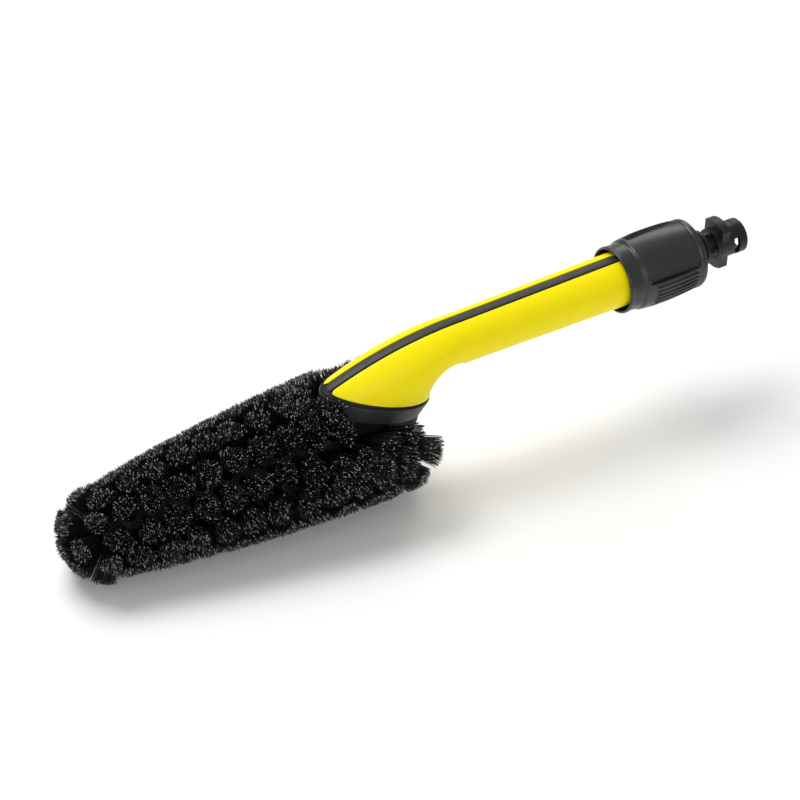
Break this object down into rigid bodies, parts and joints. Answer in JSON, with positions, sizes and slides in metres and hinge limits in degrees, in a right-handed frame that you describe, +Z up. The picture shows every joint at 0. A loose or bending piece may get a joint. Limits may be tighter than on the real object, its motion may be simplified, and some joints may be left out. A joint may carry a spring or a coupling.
{
  "type": "wheel brush",
  "caption": "Tapered tufted brush head on a curved two-shell handle, with a union nut and a bayonet plug for a spray gun.",
  "frame": {"origin": "centre of the footprint, on the surface that the brush lies on", "axes": "+Z up, +X along the brush from its tip to its bayonet, +Y to its left"},
  "size_m": [0.4192, 0.0874, 0.1105],
  "materials": {
    "yellow_shell": "satin gloss, moulded",
    "black_plastic": "fine satin grain",
    "soft_strip": "soft-touch, matt",
    "bristle": "split-tip synthetic bristles",
    "seal_rubber": "matt",
    "steel": "zinc plated",
    "pale_plastic": "natural moulded"
  },
  "bodies": {
    "brush": {"brush_body": "black_plastic", "tip_plug": "black_plastic", "neck_collar": "black_plastic", "foot_seal": "seal_rubber", "tip_tufts": "bristle", "front_tufts": "bristle", "middle_tufts": "bristle", "rear_tufts": "bristle", "heel_tufts": "bristle", "handle_shell_left": "yellow_shell", "handle_shell_right": "yellow_shell", "spine_strip": "soft_strip", "shell_screws": "steel", "water_tube": "pale_plastic", "foot_oring": "seal_rubber", "plug_oring": "seal_rubber", "threaded_boss": "black_plastic", "boss_pins": "steel", "brake_ring": "seal_rubber", "bayonet_plug": "black_plastic", "inlet_nipple": "pale_plastic", "nipple_oring": "seal_rubber"},
    "thrust_ring": {"thrust_ring": "black_plastic"},
    "union_nut": {"union_nut": "black_plastic", "retaining_ring": "steel"}
  },
  "joints": [
    {"name": "nut_travel", "type": "slide", "parent": "brush", "child": "thrust_ring", "axis": [0.998, 0, 0.0628], "range_m": [0, 0.007]},
    {"name": "nut_turn", "type": "hinge", "parent": "thrust_ring", "child": "union_nut", "pos_m": [0.14812, 0, 0.08889], "axis": [0.998, 0, 0.0628], "range_deg": [0, 640]}
  ],
  "couplings": [
    {"joint": "nut_turn", "follows": "nut_travel", "rad_per_m": 1570.8}
  ]
}
